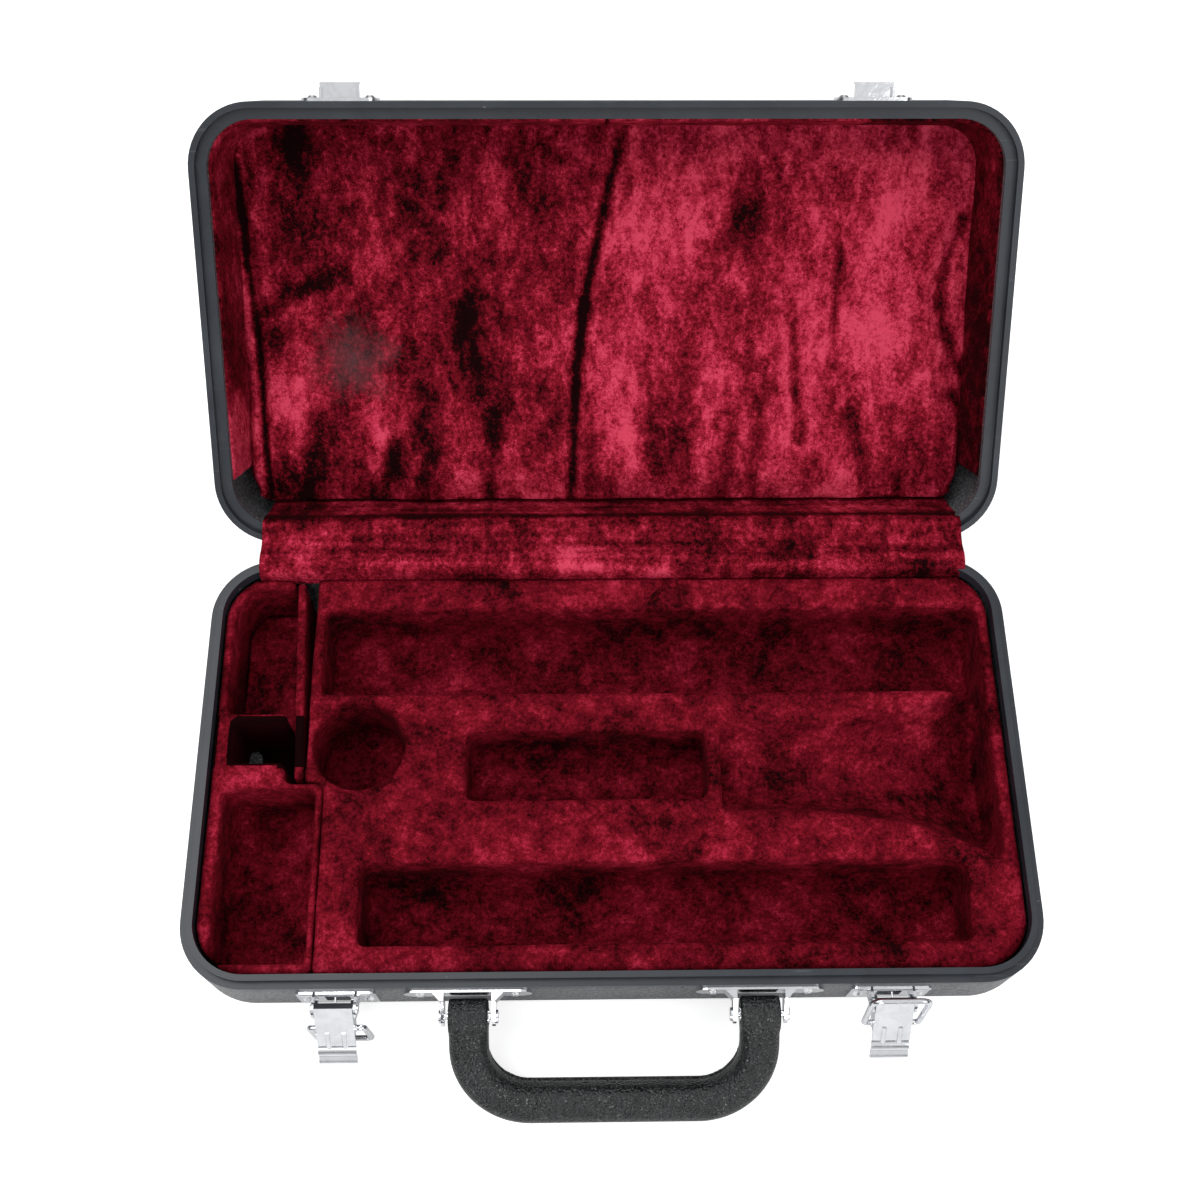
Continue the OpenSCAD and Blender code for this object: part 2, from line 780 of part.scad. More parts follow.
module keeper(x) {
    face = -half_d - plate_t;
    color(chrome_grey) on_lid() difference() {
        union() {
            translate([x, -half_d, lid_z + 3 + keeper_h / 2])
                round_plate(keeper_w, keeper_h, keeper_corner);
            translate([x - hook_w / 2, hook_lip_y - 0.9, hook_top - hook_t])
                cube([hook_w, face - hook_lip_y + 1, hook_t]);
            translate([x - hook_w / 2, hook_lip_y - 0.9, hook_top - hook_t]) cube([hook_w, 0.9, 4]);
            for (s = [-1, 1]) translate([x + s * (hook_w / 2 - 0.5) - 0.5, hook_lip_y + 1, hook_top - 3.4])
                cube([1, face - hook_lip_y - 0.9, 3]);
        }
        for (t = [-1, 1]) translate([x + t * keeper_rivet_x, -half_d, keeper_rivet_z]) rivet_bore(plate_bore);
    }
}

module keeper_left() { keeper(-latch_x); }
module keeper_right() { keeper(latch_x); }

module keeper_rivets() {
    color(chrome_grey) on_lid() at_keeper_rivets() rivet(plate_t, wall);
}

// Handle

module handle_bracket(x) {
    top = base_h - bracket_drop;
    end_r = bracket_h / 2;
    color(chrome_grey) difference() {
        union() {
            translate([x - bracket_w / 2 + end_r, -half_d - plate_t, top - bracket_h])
                cube([bracket_w - 2 * end_r, plate_t, bracket_h]);
            for (s = [-1, 1]) translate([x + s * (bracket_w / 2 - end_r), -half_d, top - end_r])
                rotate([90, 0, 0]) cylinder(h = plate_t, r = end_r);
            for (s = [-1, 1]) translate([x + s * bracket_ear_x, -half_d, top - bracket_h + 0.5])
                linear_extrude(bracket_h - 1.1) polygon([[-s * plate_t / 2, -plate_t / 2],
                    [s * (plate_t / 2 + bracket_flare), -plate_t / 2],
                    [s * (plate_t / 2 + bracket_flare), -plate_t],
                    [s * plate_t / 2, -plate_t - bracket_flare],
                    [-s * plate_t / 2, -plate_t - bracket_flare]]);
            for (s = [-1, 1]) side_view(x + s * bracket_ear_x, plate_t) {
                translate([handle_pin_y, handle_pin_z]) circle(handle_ear_r);
                polygon([[-half_d - 0.3, top - 0.6], [-half_d - 2.6, top - 0.6],
                    [handle_pin_y - 2.6, handle_pin_z + 2.2], [handle_pin_y + 2.2, handle_pin_z - 2.6],
                    [-half_d - 0.3, top - bracket_h]]);
            }
        }
        bar_x(x - bracket_w / 2, handle_pin_y, handle_pin_z, handle_pin_r + fixed_gap, bracket_w);
        for (t = [-1, 1])
            translate([x + t * bracket_rivet_x, -half_d, bracket_rivet_z]) rivet_bore(plate_bore);
    }
}

module handle_pin(x) {
    end = bracket_ear_x + plate_t / 2;
    color(chrome_grey) {
        bar_x(x - end - 0.9, handle_pin_y, handle_pin_z, handle_pin_r, 2 * end + 1.8);
        for (s = [-1, 1]) bar_x(x + s * (end + 0.45) - 0.45, handle_pin_y, handle_pin_z, 2.4, 0.9);
    }
}

module handle_bracket_left() { handle_bracket(-handle_x); }
module handle_bracket_right() { handle_bracket(handle_x); }
module handle_pin_left() { handle_pin(-handle_x); }
module handle_pin_right() { handle_pin(handle_x); }

module bracket_rivets() {
    color(chrome_grey) at_bracket_rivets() rivet(plate_t, wall);
}

// The handle is drawn flat, reaching toward -y from its pins, then dropped to where it lies
module on_handle() {
    translate([0, handle_pin_y, handle_pin_z]) rotate([handle_drop, 0, 0]) children();
}

// Sweeps a section, drawn as outward and up, along the U from one pin to the other
module sweep_u() {
    for (s = [0, 1]) mirror([s, 0, 0]) {
        translate([handle_x, 0, 0]) rotate([90, 0, 0]) linear_extrude(arm_len) children();
        translate([handle_x - turn_r, -arm_len, 0]) rotate([0, 0, -90]) rotate_extrude(angle = 90)
            translate([turn_r, 0]) children();
    }
    translate([turn_r - handle_x, -arm_len - turn_r, 0]) rotate([90, 0, 90])
        linear_extrude(2 * (handle_x - turn_r)) mirror([1, 0]) children();
}

module grip_section() {
    half = grip_w / 2;
    translate([grip_round_high - half, -grip_low])
        square([grip_w - 2 * grip_round_high, grip_low + grip_high]);
    translate([grip_round_low - half, -grip_low]) square([grip_w - 2 * grip_round_low, grip_round_low]);
    translate([-half, grip_round_low - grip_low])
        square([grip_w, grip_low + grip_high - grip_round_low - grip_round_high]);
    for (s = [-1, 1]) {
        translate([s * (half - grip_round_high), grip_high - grip_round_high]) circle(grip_round_high);
        translate([s * (half - grip_round_low), grip_round_low - grip_low]) circle(grip_round_low);
    }
}

module strap_shape() {
    sweep_u() square([core_w, strap_t], center = true);
    for (s = [-1, 1]) bar_x(s * handle_x - barrel_w / 2 - rim_gap, 0, 0, eye_r, barrel_w + 2 * rim_gap);
}

module pin_bores(r) {
    bar_x(-half_w, 0, 0, r, case_w);
}

module handle_core() {
    color(chrome_grey) on_handle() difference() {
        strap_shape();
        pin_bores(handle_pin_r + turn_gap);
    }
}

module handle_grip() {
    color(leather_black) on_handle() difference() {
        union() {
            sweep_u() grip_section();
            for (s = [-1, 1]) bar_x(s * handle_x - barrel_w / 2, 0, 0, barrel_r, barrel_w);
        }
        strap_shape();
        pin_bores(handle_pin_r + rim_gap);
    }
}

module handle_backing() {
    w = grip_w - 2 * backing_inset;
    color(leather_black) on_handle() intersection() {
        sweep_u() translate([-w / 2, -grip_low - backing_t]) square([w, backing_t]);
        translate([-half_w, -handle_reach, -half_d]) cube([case_w, handle_reach - backing_start, case_d]);
    }
}

// Lid

module lid_shell() {
    color(black_shell) on_lid() difference() {
        translate([0, 0, lid_top]) mirror([0, 0, 1]) {
            sweep_round() lid_profile();
            translate([-core_x, -core_y, 0]) cube([2 * core_x, 2 * core_y, wall]);
        }
        at_keeper_rivets() rivet_bore(shell_bore);
        at_hinge_rivets(1) rivet_bore(shell_bore);
    }
}

module lid_board() {
    color(board_brown) on_lid() {
        translate([0, 0, board_z]) linear_extrude(board_t) rounded_outline(inner_edge_r);
        translate([0, 0, board_z + board_t]) linear_extrude(board_gap)
            rounded_outline(flat_r - 1);
    }
}

// Height of the padding below the board: low in the middle, thick at the hinge, with soft folds
function smooth(t) = t <= 0 ? 0 : t >= 1 ? 1 : t * t * (3 - 2 * t);
function fold_sum(x, y, i) = i < 0 ? 0 : fold_sum(x, y, i - 1)
    + folds[i][3] * exp(-pow((x - folds[i][0] - folds[i][1] * y) / folds[i][2], 2));
function pad_h(x, y) = lining_low + lining_rise * smooth((y + lining_slope) / (lining_y1 + lining_slope))
    + lining_edge * smooth((lining_half_x - abs(x)) / lining_puff) - fold_sum(x, y, len(folds) - 1);

// Grid point of the padding; the outline's corners are drawn in to a radius
function pad_half(y) = let (over = max(0, max(lining_y0 + lining_corner - y, y - lining_y1 + lining_corner)))
    core_x + sqrt(max(0.01, lining_corner * lining_corner - over * over));
function pad_point(i, j, k) =
    let (y = lining_y0 + 0.4 + (lining_y1 - lining_y0 - 0.8) * j / lining_ny,
         x = pad_half(y) * (2 * i / lining_nx - 1),
         edge = i == 0 || i == lining_nx || j == 0 || j == lining_ny)
    [x, y, board_z - (k == 0 ? 0 : edge ? lining_edge : pad_h(x, y))];

module lid_lining() {
    row = lining_nx + 1;
    count = row * (lining_ny + 1);
    points = [for (k = [0, 1], j = [0 : lining_ny], i = [0 : lining_nx]) pad_point(i, j, k)];
    rim = concat([for (i = [0 : lining_nx]) i], [for (j = [1 : lining_ny]) j * row + lining_nx],
        [for (i = [lining_nx - 1 : -1 : 0]) lining_ny * row + i],
        [for (j = [lining_ny - 1 : -1 : 1]) j * row]);
    m = len(rim);
    low = [for (j = [0 : lining_ny - 1], i = [0 : lining_nx - 1], t = [0, 1])
        let (a = count + j * row + i)
        t == 0 ? [a, a + 1, a + row + 1] : [a, a + row + 1, a + row]];
    side = [for (k = [0 : m - 1], t = [0, 1]) let (a = rim[k], b = rim[(k + 1) % m])
        t == 0 ? [a, b, b + count] : [a, b + count, a + count]];
    color(plush_red) on_lid()
        polyhedron(points = points, faces = concat([[for (k = [m - 1 : -1 : 0]) rim[k]]], low, side));
}

// Plush over the lid's walls, held under the rim: each strip covers one end and half of the front
module strip_profile() {
    back = corner_r - lid_rim_w + strip_tuck;
    z0 = lid_z + lid_rim_depth;
    polygon([[back, z0], [back - strip_head, z0], [back - strip_foot, board_z],
        [back - strip_bevel, board_z], [back, board_z - strip_bevel_h]]);
}

module lid_strip() {
    color(plush_red) {
        translate([-core_x, core_y, 0]) rotate([90, 0, 0]) linear_extrude(2 * core_y)
            mirror([1, 0]) strip_profile();
        translate([-core_x, -core_y, 0]) rotate([0, 0, 180]) rotate_extrude(angle = 90) strip_profile();
        translate([-core_x, -core_y, 0]) rotate([90, 0, 90]) linear_extrude(core_x - strip_split)
            mirror([1, 0]) strip_profile();
    }
}

module lid_strip_left() { on_lid() lid_strip(); }
module lid_strip_right() { on_lid() mirror([1, 0, 0]) lid_strip(); }

base_shell();
main_insert();
main_lining();
side_insert();
side_lining();
corner_pad();
partition();
gusset();
base_hinge_leaf_left();
base_hinge_leaf_right();
base_hinge_rivets();
hinge_pin_left();
hinge_pin_right();
latch_plate_left();
latch_plate_right();
latch_rivets();
lever_pin_left();
lever_pin_right();
latch_spring_left();
latch_spring_right();
lever_left();
lever_right();
loop_left();
loop_right();
handle_bracket_left();
handle_bracket_right();
bracket_rivets();
handle_pin_left();
handle_pin_right();
handle_core();
handle_grip();
handle_backing();
lid_shell();
lid_board();
lid_lining();
lid_strip_left();
lid_strip_right();
lid_hinge_leaf_left();
lid_hinge_leaf_right();
lid_hinge_rivets();
keeper_left();
keeper_right();
keeper_rivets();
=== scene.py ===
import bpy
import json
import math
from mathutils import Matrix, Vector, noise


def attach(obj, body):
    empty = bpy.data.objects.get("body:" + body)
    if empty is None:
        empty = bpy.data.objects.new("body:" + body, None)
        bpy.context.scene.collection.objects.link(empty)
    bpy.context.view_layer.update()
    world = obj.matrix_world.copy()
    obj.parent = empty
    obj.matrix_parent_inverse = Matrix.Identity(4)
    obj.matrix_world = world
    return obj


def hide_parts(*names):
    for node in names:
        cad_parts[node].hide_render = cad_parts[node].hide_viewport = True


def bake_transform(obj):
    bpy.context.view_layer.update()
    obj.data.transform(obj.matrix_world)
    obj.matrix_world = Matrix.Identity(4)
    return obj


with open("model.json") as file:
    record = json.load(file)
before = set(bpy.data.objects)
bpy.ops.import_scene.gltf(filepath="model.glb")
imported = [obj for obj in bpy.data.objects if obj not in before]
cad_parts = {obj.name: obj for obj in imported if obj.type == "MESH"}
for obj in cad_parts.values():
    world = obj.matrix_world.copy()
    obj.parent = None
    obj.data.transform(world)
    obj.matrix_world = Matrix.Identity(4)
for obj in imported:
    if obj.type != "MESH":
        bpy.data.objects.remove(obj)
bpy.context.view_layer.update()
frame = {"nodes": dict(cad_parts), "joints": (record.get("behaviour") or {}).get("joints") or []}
nodes = frame["nodes"]
mm = 0.001
print("frame loaded,", len(nodes), "nodes")


# Camera: looks down on the open case from in front of the handle

camera = {"place": (-0.0135, -0.1896, 0.6021), "down": 65.28, "turn": 2.23, "roll": 1.69,
          "focalPixels": 1518, "photoPixels": 1200, "sensor": 36}


def addCamera():
    down, turn, roll = (math.radians(camera[k]) for k in ("down", "turn", "roll"))
    ahead = Vector((math.sin(turn) * math.cos(down), math.cos(turn) * math.cos(down), -math.sin(down)))
    level = Vector((math.cos(turn), -math.sin(turn), 0))
    upright = level.cross(ahead)
    right = level * math.cos(roll) + upright * math.sin(roll)
    up = upright * math.cos(roll) - level * math.sin(roll)
    data = bpy.data.cameras.new("camera")
    data.sensor_width = camera["sensor"]
    data.lens = camera["focalPixels"] / camera["photoPixels"] * camera["sensor"]
    eye = bpy.data.objects.new("camera", data)
    bpy.context.scene.collection.objects.link(eye)
    turnMatrix = Matrix((right, up, -ahead)).transposed().to_4x4()
    eye.matrix_world = Matrix.Translation(camera["place"]) @ turnMatrix
    bpy.context.scene.camera = eye


addCamera()


# Small helpers

mergeGap = 0.000001  # vertices nearer than this, in metres, become one


def deselectAll():
    if bpy.context.object and bpy.context.object.mode != "OBJECT":
        bpy.ops.object.mode_set(mode="OBJECT")
    bpy.ops.object.select_all(action="DESELECT")


def pick(*objects):
    deselectAll()
    for o in objects:
        o.select_set(True)
    bpy.context.view_layer.objects.active = objects[0]


def applyPlace(o):
    pick(o)
    bpy.ops.object.transform_apply(location=True, rotation=True, scale=True)


def applyModifiers(o):
    pick(o)
    for m in list(o.modifiers):
        bpy.ops.object.modifier_apply(modifier=m.name)


def smoothShade(o, angle=None):
    pick(o)
    if angle is None:
        bpy.ops.object.shade_smooth()
    else:
        bpy.ops.object.shade_smooth_by_angle(angle=math.radians(angle))


# Moves every vertex by a rule that gets its place and its normal
def moveVertices(o, rule):
    vertices = o.data.vertices
    normals = [v.normal.copy() for v in vertices]
    moved = [rule(v.co.copy(), n) for v, n in zip(vertices, normals)]
    vertices.foreach_set("co", [value for place in moved for value in place])
    o.data.update()


def fixNormals(o):
    pick(o)
    bpy.ops.object.mode_set(mode="EDIT")
    bpy.ops.mesh.select_all(action="SELECT")
    bpy.ops.mesh.remove_doubles(threshold=mergeGap)
    bpy.ops.mesh.normals_make_consistent(inside=False)
    bpy.ops.object.mode_set(mode="OBJECT")


# Eases from 0 to 1
def soften(t):
    t = min(1, max(0, t))
    return t * t * (3 - 2 * t)


# A round hump, 1 in its middle
def bump(distance, width):
    return math.exp(-(distance / width) ** 2)


def inMm(place):
    return [c / mm for c in place]


# Smooth noise at a place given by its coordinates
def ripple(*place):
    return noise.noise(Vector(place))


# Stores how the nap lies, with the painted light and shade on it, vertex by vertex, by a rule that gets
# its place and its normal
def storeNapAndShade(o, rule):
    values = [rule(v.co, v.normal) for v in o.data.vertices]
    o.data.attributes.new("napAndShade", "FLOAT", "POINT").data.foreach_set("value", values)


# A merged copy of some CAD nodes, remeshed evenly and rounded, to be worked up as a soft piece
def softCopy(name, sources, voxel, rounds):
    copies = []
    for s in sources:
        c = nodes[s].copy()
        c.data = nodes[s].data.copy()
        c.parent = None
        for k in list(c.keys()):
            del c[k]
        bpy.context.scene.collection.objects.link(c)
        copies.append(c)
    pick(*copies)
    if len(copies) > 1:
        bpy.ops.object.join()
    o = bpy.context.object
    o.name = name
    o.data.name = name
    o.data.materials.clear()
    fixNormals(o)
    remesh = o.modifiers.new("remesh", "REMESH")
    remesh.mode = "VOXEL"
    remesh.voxel_size = voxel
    relax = o.modifiers.new("relax", "SMOOTH")
    relax.factor = 0.5
    relax.iterations = rounds
    applyModifiers(o)
    smoothShade(o)
    return o


# Slight unevenness of a soft piece, from broad waves and small ones
rumples = {"broadScale": 38, "broad": 0.7, "smallScale": 110, "small": 0.3}


def rumple(o, amount):
    def moved(co, n):
        wave = noise.noise(co * rumples["broadScale"]) * rumples["broad"]
        wave += noise.noise(co * rumples["smallScale"]) * rumples["small"]
        return co + n * wave * amount

    moveVertices(o, moved)


# The lid's own position: a point given as if the lid were shut, moved to where it lies open
lidJoint = next(j for j in frame["joints"] if j["child"] == "lid")
hinge = Vector(lidJoint["pos_m"])
openTurn = Matrix.Rotation(-math.radians(max(lidJoint["range_deg"])), 4, "X")
onLid = Matrix.Translation(hinge) @ openTurn @ Matrix.Translation(-hinge)
offLid = onLid.inverted()


# Box of a lid node as it would be with the lid shut
def lidBox(node):
    points = [offLid @ v.co for v in nodes[node].data.vertices]
    return (Vector([min(p[i] for p in points) for i in range(3)]),
            Vector([max(p[i] for p in points) for i in range(3)]))


# Shared shading

def newGroup(name, inputs, outputs):
    g = bpy.data.node_groups.new(name, "ShaderNodeTree")
    for n, kind, value in inputs:
        s = g.interface.new_socket(name=n, in_out="INPUT", socket_type=kind)
        if value is not None:
            s.default_value = value
    for n, kind in outputs:
        g.interface.new_socket(name=n, in_out="OUTPUT", socket_type=kind)
    return g, g.nodes.new("NodeGroupInput").outputs, g.nodes.new("NodeGroupOutput").inputs


# Sets a socket, or links it when it is given another node's output
def feed(tree, socket, value):
    if isinstance(value, bpy.types.NodeSocket):
        tree.links.new(value, socket)
    else:
        socket.default_value = value


def addNode(tree, kind, inputs=None, **settings):
    n = tree.nodes.new(kind)
    for k, v in settings.items():
        setattr(n, k, v)
    for k, v in (inputs or {}).items():
        feed(tree, n.inputs[k], v)
    return n


def addRamp(tree, factor, stops):
    n = addNode(tree, "ShaderNodeValToRGB", {"Fac": factor})
    ramp = n.color_ramp
    while len(ramp.elements) < len(stops):
        ramp.elements.new(0.5)
    for e, (at, colour) in zip(ramp.elements, stops):
        e.position = at
        e.color = (*colour, 1)
    return n.outputs["Color"]


def addMix(tree, factor, a, b):
    n = addNode(tree, "ShaderNodeMix", data_type="RGBA")
    for name, value in (("Factor", factor), ("A", a), ("B", b)):
        socket = next(s for s in n.inputs if s.name == name and s.enabled)
        feed(tree, socket, (*value, 1) if isinstance(value, tuple) else value)
    return next(s for s in n.outputs if s.enabled)


def addMath(tree, operation, *values, clamp=False):
    n = addNode(tree, "ShaderNodeMath", dict(enumerate(values)), operation=operation, use_clamp=clamp)
    return n.outputs[0]


def addNoise(tree, vector, scale, detail=2, rough=0.5, warp=0.0):
    n = addNode(tree, "ShaderNodeTexNoise", {"Vector": vector, "Scale": scale, "Detail": detail,
                                             "Roughness": rough, "Distortion": warp})
    return n.outputs["Fac"]


# Crushed plush: soft patches of nap lying two ways, mottling in them and single fibres.
# A vertex attribute adds to the nap of a place and carries painted light and shade as well: below 0
# darker, above 0 lighter.

plushGrain = {"broad": 0.85, "mottle": 0.85, "fine": 0.75, "fibre": 0.5,  # how much each turns the nap
              "mottleScale": 170, "fineScale": 620, "fibreScale": 2600, "gain": 1.6, "level": 0.5}


def buildPlushGroup():
    g, put, out = newGroup("plushNapAndShade",
        [("Vector", "NodeSocketVector", None), ("Patch", "NodeSocketFloat", 34),
         ("Contrast", "NodeSocketFloat", 1), ("Lean", "NodeSocketVector", (1, 1, 1))],
        [("NapAndShade", "NodeSocketFloat"), ("Height", "NodeSocketFloat")])
    vector = put["Vector"]
    leaned = addNode(g, "ShaderNodeVectorMath", {0: vector, 1: put["Lean"]},
                     operation="MULTIPLY").outputs[0]
    layers = {"broad": addNoise(g, leaned, put["Patch"], 3, 0.55, 0.25),
              "mottle": addNoise(g, leaned, plushGrain["mottleScale"], 4, 0.66, 0.3),
              "fine": addNoise(g, vector, plushGrain["fineScale"], 3, 0.7),
              "fibre": addNoise(g, vector, plushGrain["fibreScale"], 1, 0.5)}
    nap = addMath(g, "MULTIPLY", layers["mottle"], plushGrain["mottle"])
    for layer in ("broad", "fine", "fibre"):
        nap = addMath(g, "MULTIPLY_ADD", layers[layer], plushGrain[layer], nap)
    middle = sum(plushGrain[layer] for layer in layers) / 2
    spread = addMath(g, "MULTIPLY", addMath(g, "SUBTRACT", nap, middle), put["Contrast"])
    napAndShade = addNode(g, "ShaderNodeAttribute", attribute_name="napAndShade").outputs["Fac"]
    level = addMath(g, "ADD", napAndShade, plushGrain["level"])
    feed(g, out["NapAndShade"], addMath(g, "MULTIPLY_ADD", spread, plushGrain["gain"], level, clamp=True))
    height = addMath(g, "MULTIPLY", layers["fibre"], 0.4)
    height = addMath(g, "MULTIPLY_ADD", layers["fine"], 0.5, height)
    feed(g, out["Height"], addMath(g, "MULTIPLY_ADD", layers["mottle"], 0.6, height))
    return g


# Pebble grain of moulded plastic or leatherette: rounded cells with narrow valleys

pebbles = {"wanderScale": 400, "wander": 0.0012, "softness": 0.35, "valley": (-3.2, 2.1)}


def buildGrainGroup():
    g, put, out = newGroup("pebbleGrain",
        [("Vector", "NodeSocketVector", None), ("Cells", "NodeSocketFloat", 900)],
        [("Height", "NodeSocketFloat"), ("Valley", "NodeSocketFloat")])
    vector = put["Vector"]
    wander = addNode(g, "ShaderNodeTexNoise", {"Vector": vector, "Scale": pebbles["wanderScale"],
                                               "Detail": 2})
    shift = (pebbles["wander"],) * 3
    moved = addNode(g, "ShaderNodeVectorMath", {0: wander.outputs["Color"], 1: shift, 2: vector},
                    operation="MULTIPLY_ADD").outputs[0]
    cells = addNode(g, "ShaderNodeTexVoronoi", {"Vector": moved, "Scale": put["Cells"],
                                                "Smoothness": pebbles["softness"]}, feature="SMOOTH_F1")
    height = addMath(g, "SUBTRACT", 1.0, cells.outputs["Distance"], clamp=True)
    feed(g, out["Height"], height)
    feed(g, out["Valley"], addMath(g, "MULTIPLY_ADD", height, *pebbles["valley"], clamp=True))
    return g


# Wear: soft blotches of dust and thin scratches, each a gain and an offset on a noise

wearMarks = {"dust": (3.2, -1.35), "scratch": (9, -6.1), "scratchTurn": (0.3, 0.2, 0.7),
             "scratchScale": (40, 900, 700)}


def buildWearGroup():
    g, put, out = newGroup("wear", [("Vector", "NodeSocketVector", None), ("Size", "NodeSocketFloat", 30)],
                           [("Dust", "NodeSocketFloat"), ("Scratch", "NodeSocketFloat")])
    vector = put["Vector"]
    cloud = addNoise(g, vector, put["Size"], 5, 0.65, 0.4)
    feed(g, out["Dust"], addMath(g, "MULTIPLY_ADD", cloud, *wearMarks["dust"], clamp=True))
    drawnOut = addNode(g, "ShaderNodeMapping", {"Vector": vector, "Rotation": wearMarks["scratchTurn"],
                                                "Scale": wearMarks["scratchScale"]}).outputs[0]
    lines = addNoise(g, drawnOut, 1.0)
    feed(g, out["Scratch"], addMath(g, "MULTIPLY_ADD", lines, *wearMarks["scratch"], clamp=True))
    return g


plushNapAndShade = buildPlushGroup()
pebbleGrain = buildGrainGroup()
wear = buildWearGroup()


def useGroup(tree, group, vector, **values):
    return addNode(tree, "ShaderNodeGroup", {"Vector": vector, **values}, node_tree=group).outputs


def newMaterial(name, **sockets):
    m = bpy.data.materials.new(name)
    m.use_nodes = True
    tree = m.node_tree
    shader = tree.nodes["Principled BSDF"]
    for k, v in sockets.items():
        shader.inputs[k.replace("_", " ")].default_value = v
    place = tree.nodes.new("ShaderNodeTexCoord").outputs["Object"]
    return m, tree, shader, place


def addBump(tree, shader, height, strength, distance):
    b = addNode(tree, "ShaderNodeBump", {"Strength": strength, "Distance": distance, "Height": height})
    feed(tree, shader.inputs["Normal"], b.outputs["Normal"])


# Red plush: from the dark side of the nap to its bright side

plushColours = [(0.0, (0.006, 0.0003, 0.0007)), (0.14, (0.04, 0.0006, 0.0022)),
                (0.5, (0.175, 0.0045, 0.0135)), (0.8, (0.42, 0.02, 0.05)), (1.0, (0.6, 0.052, 0.1))]
# A worn spot of the lid's plush: its middle as if shut, and its size, both in metres
wornSpot = {"middle": (-0.105, 0.0166, 0.074), "size": 0.021, "reach": 1.7, "ragged": 1.5,
            "raggedScale": 150, "colour": (0.085, 0.045, 0.05), "amount": 0.62}


# How strongly a worn spot covers a place: full in its middle, with a ragged edge
def spotMask(tree, place, spot):
    middle = onLid @ Vector(spot["middle"])
    gap = addNode(tree, "ShaderNodeVectorMath", {0: place, 1: middle}, operation="DISTANCE")
    ring = addMath(tree, "DIVIDE", gap.outputs["Value"], spot["size"])
    ragged = addMath(tree, "MULTIPLY_ADD", addNoise(tree, place, spot["raggedScale"], 4, 0.7),
                     spot["ragged"], ring)
    worn = addMath(tree, "SUBTRACT", spot["reach"], ragged, clamp=True)
    return addMath(tree, "MULTIPLY", worn, spot["amount"])


def plushMaterial(name, patch, contrast, lean=(1, 1, 1), spot=None):
    m, tree, shader, place = newMaterial(name, Roughness=0.85, Sheen_Weight=0.08, Sheen_Roughness=0.35,
                                         Sheen_Tint=(0.8, 0.04, 0.08, 1), Specular_IOR_Level=0.04)
    nap = useGroup(tree, plushNapAndShade, place, Patch=patch, Contrast=contrast, Lean=lean)
    colour = addRamp(tree, nap["NapAndShade"], plushColours)
    if spot:
        colour = addMix(tree, spotMask(tree, place, spot), colour, spot["colour"])
    feed(tree, shader.inputs["Base Color"], colour)
    addBump(tree, shader, nap["Height"], 0.5, 0.0009)
    return m


# Moulded case: satin rim, and grained walls from the plane on that lies across `away` at `start`. The
# grained walls are painted lighter than the rim as painted sheen, with painted highlights on the grain's
# crowns.

moulding = {"cells": 820, "markSize": 24, "grainEdge": 2500, "chips": (16, -11.8), "crownHighlight": (2.2, -0.9),
            "satin": (0.014, 0.018, 0.025), "dusty": (0.036, 0.042, 0.052), "chipped": (0.42, 0.43, 0.44),
            "scratched": (0.16, 0.17, 0.18), "valley": (0.06, 0.063, 0.068), "crown": (0.19, 0.193, 0.2)}


def shellMaterial(name, away, start):
    m, tree, shader, place = newMaterial(name, Specular_IOR_Level=0.5)
    grain = useGroup(tree, pebbleGrain, place, Cells=moulding["cells"])
    marks = useGroup(tree, wear, place, Size=moulding["markSize"])
    depth = addNode(tree, "ShaderNodeVectorMath", {0: place, 1: away}, operation="DOT_PRODUCT")
    beyond = addMath(tree, "SUBTRACT", depth.outputs["Value"], away.dot(start))
    wall = addMath(tree, "MULTIPLY", beyond, moulding["grainEdge"], clamp=True)
    dust = addMath(tree, "MULTIPLY", marks["Dust"], 0.6)
    satin = addMix(tree, dust, moulding["satin"], moulding["dusty"])
    specks = addNoise(tree, place, 330, 2, 0.6)
    specks = addMath(tree, "MULTIPLY_ADD", specks, *moulding["chips"], clamp=True)
    chips = addMath(tree, "MULTIPLY", addMath(tree, "MULTIPLY", specks, marks["Dust"]), 0.6)
    satin = addMix(tree, chips, satin, moulding["chipped"])
    scratches = addMath(tree, "MULTIPLY", marks["Scratch"], 0.35)
    satin = addMix(tree, scratches, satin, moulding["scratched"])
    # Painted sheen on the grained walls: painted highlights on the grain's crowns, its valleys darker
    crown = addMath(tree, "MULTIPLY_ADD", grain["Height"], *moulding["crownHighlight"], clamp=True)
    rough = addMix(tree, crown, moulding["valley"], moulding["crown"])
    feed(tree, shader.inputs["Base Color"], addMix(tree, wall, satin, rough))
    gloss = addMath(tree, "MULTIPLY_ADD", marks["Dust"], 0.14, 0.34)
    feed(tree, shader.inputs["Roughness"], addMath(tree, "MULTIPLY_ADD", wall, 0.08, gloss))
    fine = addMath(tree, "MULTIPLY", addNoise(tree, place, 900), 0.08)
    height = addMath(tree, "MULTIPLY_ADD", addMath(tree, "MULTIPLY", grain["Height"], wall), 0.9, fine)
    addBump(tree, shader, height, 0.6, 0.0007)
    return m


# Chromed and plain steel: duller where it is handled, with a faint unevenness

def metalMaterial(name, tone, roughness):
    m, tree, shader, place = newMaterial(name, Metallic=1.0)
    marks = useGroup(tree, wear, place, Size=140)
    dulled = tuple(c * 0.62 for c in tone)
    colour = addMix(tree, addMath(tree, "MULTIPLY", marks["Dust"], 0.5), tone, dulled)
    feed(tree, shader.inputs["Base Color"], colour)
    blur = addMath(tree, "MULTIPLY_ADD", marks["Dust"], 0.16, roughness)
    feed(tree, shader.inputs["Roughness"], addMath(tree, "MULTIPLY_ADD", marks["Scratch"], 0.2, blur))
    addBump(tree, shader, addNoise(tree, place, 260, 3), 0.08, 0.0006)
    return m


